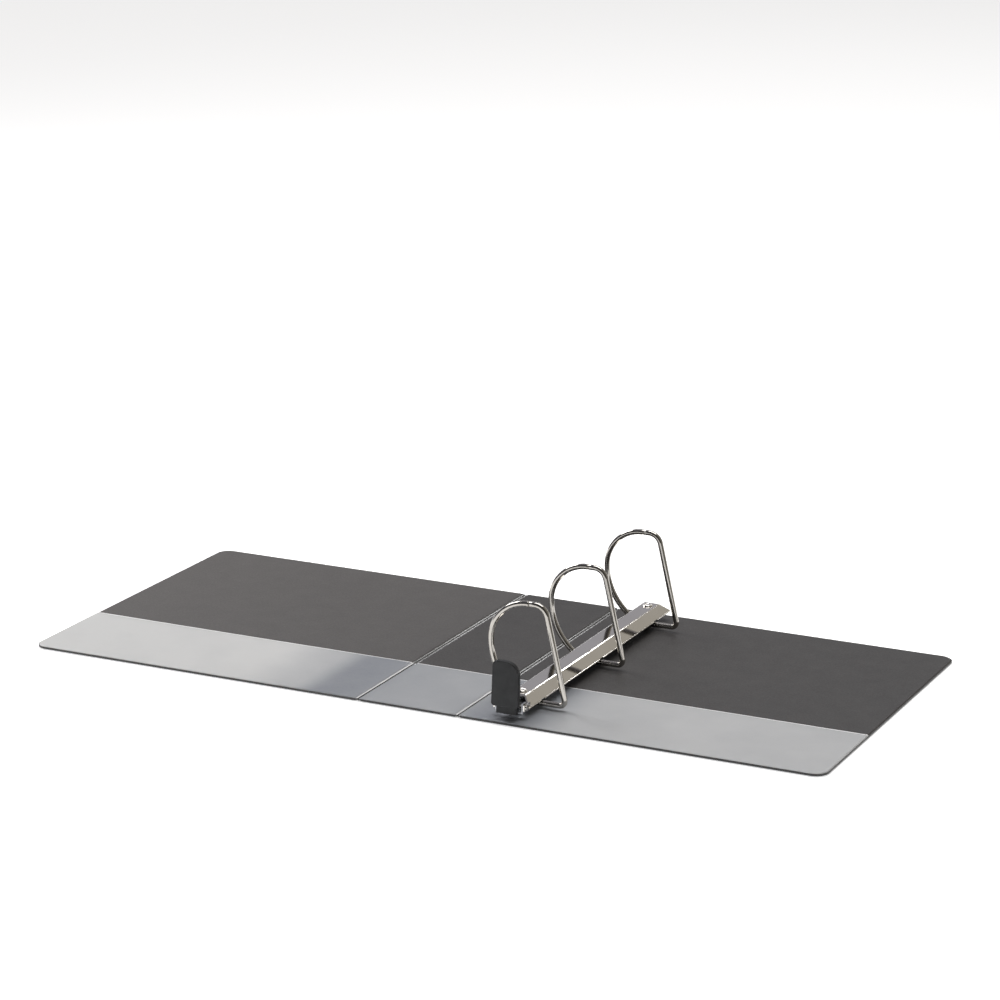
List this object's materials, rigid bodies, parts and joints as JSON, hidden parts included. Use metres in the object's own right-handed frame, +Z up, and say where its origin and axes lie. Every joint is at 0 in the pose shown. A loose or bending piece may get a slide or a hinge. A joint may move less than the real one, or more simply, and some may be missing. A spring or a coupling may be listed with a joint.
{
  "type": "ring binder",
  "caption": "Vinyl view binder lying open, with slant-D rings on the back cover, a steel housing and a black opening lever.",
  "frame": {"origin": "under the middle of the spine at half the covers' height, on the surface the open covers lie on", "axes": "+X across the spine towards the back cover that carries the rings, +Y towards the covers' top edge, +Z up"},
  "size_m": [0.6554, 0.2984, 0.0842],
  "materials": {
    "outer_vinyl": "satin black welded vinyl with fine grain",
    "liner_vinyl": "satin charcoal vinyl with fine grain",
    "clear_film": "clear glossy film over the outer skin",
    "pocket_film": "frosted translucent pocket film",
    "board": "grey-brown chipboard, sealed inside",
    "nickel_plate": "polished nickel plate",
    "zinc_steel": "zinc-plated stamped steel",
    "lever_plastic": "matte black moulded plastic"
  },
  "bodies": {
    "back_cover": {"back_view_film": "clear_film", "back_outer_skin": "outer_vinyl", "back_board": "board", "back_liner": "liner_vinyl", "back_pocket": "pocket_film", "back_hinge_web": "outer_vinyl", "ring_housing": "nickel_plate", "near_rivet": "nickel_plate", "near_rivet_spacer": "zinc_steel", "far_rivet": "nickel_plate", "far_rivet_spacer": "zinc_steel", "lever_pin": "nickel_plate"},
    "spine": {"spine_view_film": "clear_film", "spine_outer_skin": "outer_vinyl", "spine_board": "board", "spine_liner": "liner_vinyl", "spine_pocket": "pocket_film", "front_hinge_web": "outer_vinyl"},
    "front_cover": {"front_view_film": "clear_film", "front_outer_skin": "outer_vinyl", "front_board": "board", "front_liner": "liner_vinyl", "front_pocket": "pocket_film"},
    "curved_halves": {"left_rail": "zinc_steel", "near_ring_curved_half": "nickel_plate", "middle_ring_curved_half": "nickel_plate", "far_ring_curved_half": "nickel_plate"},
    "straight_halves": {"right_rail": "zinc_steel", "near_ring_straight_half": "nickel_plate", "middle_ring_straight_half": "nickel_plate", "far_ring_straight_half": "nickel_plate"},
    "lever": {"lever_arm": "zinc_steel", "lever_cap": "lever_plastic"}
  },
  "joints": [
    {"name": "spine_fold", "type": "hinge", "parent": "back_cover", "child": "spine", "pos_m": [0.0415, 0, 0.0031], "axis": [0, 1, 0], "range_deg": [0, 90], "deforming": ["back_hinge_web"]},
    {"name": "front_cover_fold", "type": "hinge", "parent": "spine", "child": "front_cover", "pos_m": [-0.0415, 0, 0.0031], "axis": [0, 1, 0], "range_deg": [0, 90], "deforming": ["front_hinge_web"]},
    {"name": "lever_turn", "type": "hinge", "parent": "back_cover", "child": "lever", "pos_m": [0.0784, -0.1365, 0.0118], "axis": [1, 0, 0], "range_deg": [0, 40]},
    {"name": "curved_halves_open", "type": "hinge", "parent": "back_cover", "child": "curved_halves", "pos_m": [0.068, 0, 0.011], "axis": [0, -1, 0], "range_deg": [0, 5]},
    {"name": "straight_halves_open", "type": "hinge", "parent": "back_cover", "child": "straight_halves", "pos_m": [0.0888, 0, 0.011], "axis": [0, 1, 0], "range_deg": [0, 5]}
  ],
  "couplings": [
    {"joint": "curved_halves_open", "follows": "lever_turn", "ratio": 0.125},
    {"joint": "straight_halves_open", "follows": "lever_turn", "ratio": 0.125}
  ]
}
